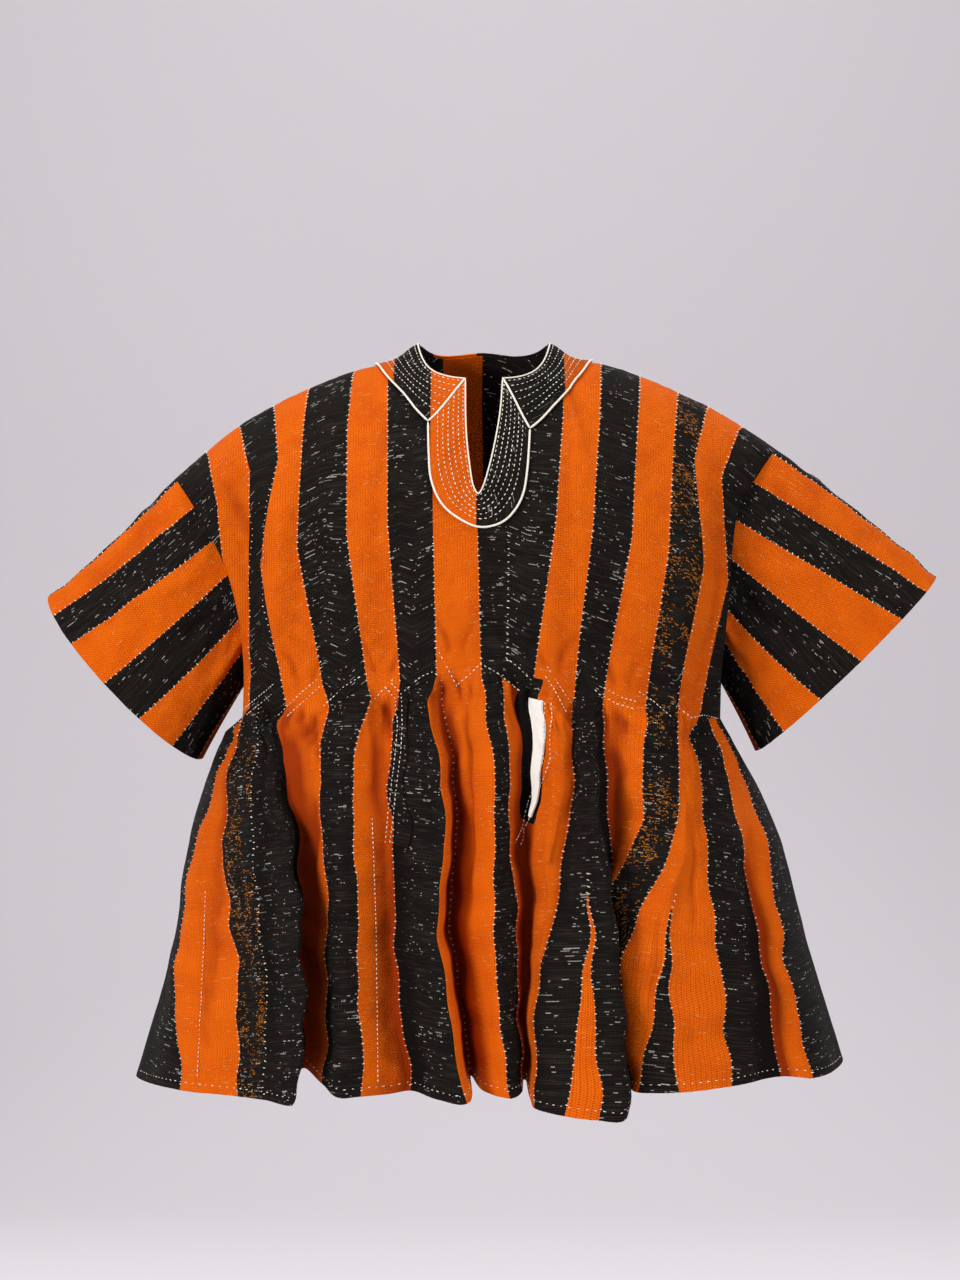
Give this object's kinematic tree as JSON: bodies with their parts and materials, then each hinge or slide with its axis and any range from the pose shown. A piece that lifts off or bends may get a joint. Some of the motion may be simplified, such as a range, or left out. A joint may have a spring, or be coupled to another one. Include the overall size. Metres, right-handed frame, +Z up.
{
  "type": "gathered fugu smock",
  "caption": "Handwoven striped smock with straight short sleeves, a banded neck slit and a full gathered skirt, in its worn, hollow shape.",
  "frame": {"origin": "middle of the neck at the height of the shoulder line, where the wearer holds the smock up", "axes": "+X towards the wearer's left sleeve, +Y towards the back, +Z up along the body"},
  "size_m": [0.9219, 0.5125, 0.7682],
  "materials": {
    "strip_cloth": "handwoven cotton strips, orange and black by turns",
    "band_cloth": "folded strip cloth with rows of white running stitch",
    "welt_cloth": "folded orange strip cloth, stitched along both edges",
    "lining_cloth": "plain white cotton lining"
  },
  "bodies": {
    "root": {"front_bodice": "strip_cloth", "back_bodice": "strip_cloth", "sleeve_right": "strip_cloth", "sleeve_left": "strip_cloth", "skirt_front": "strip_cloth", "skirt_back": "strip_cloth", "neck_band": "band_cloth", "slit_band": "band_cloth", "pocket_welt_right": "band_cloth", "pocket_welt_left": "welt_cloth", "pocket_lining_left": "lining_cloth"}
  },
  "joints": []
}
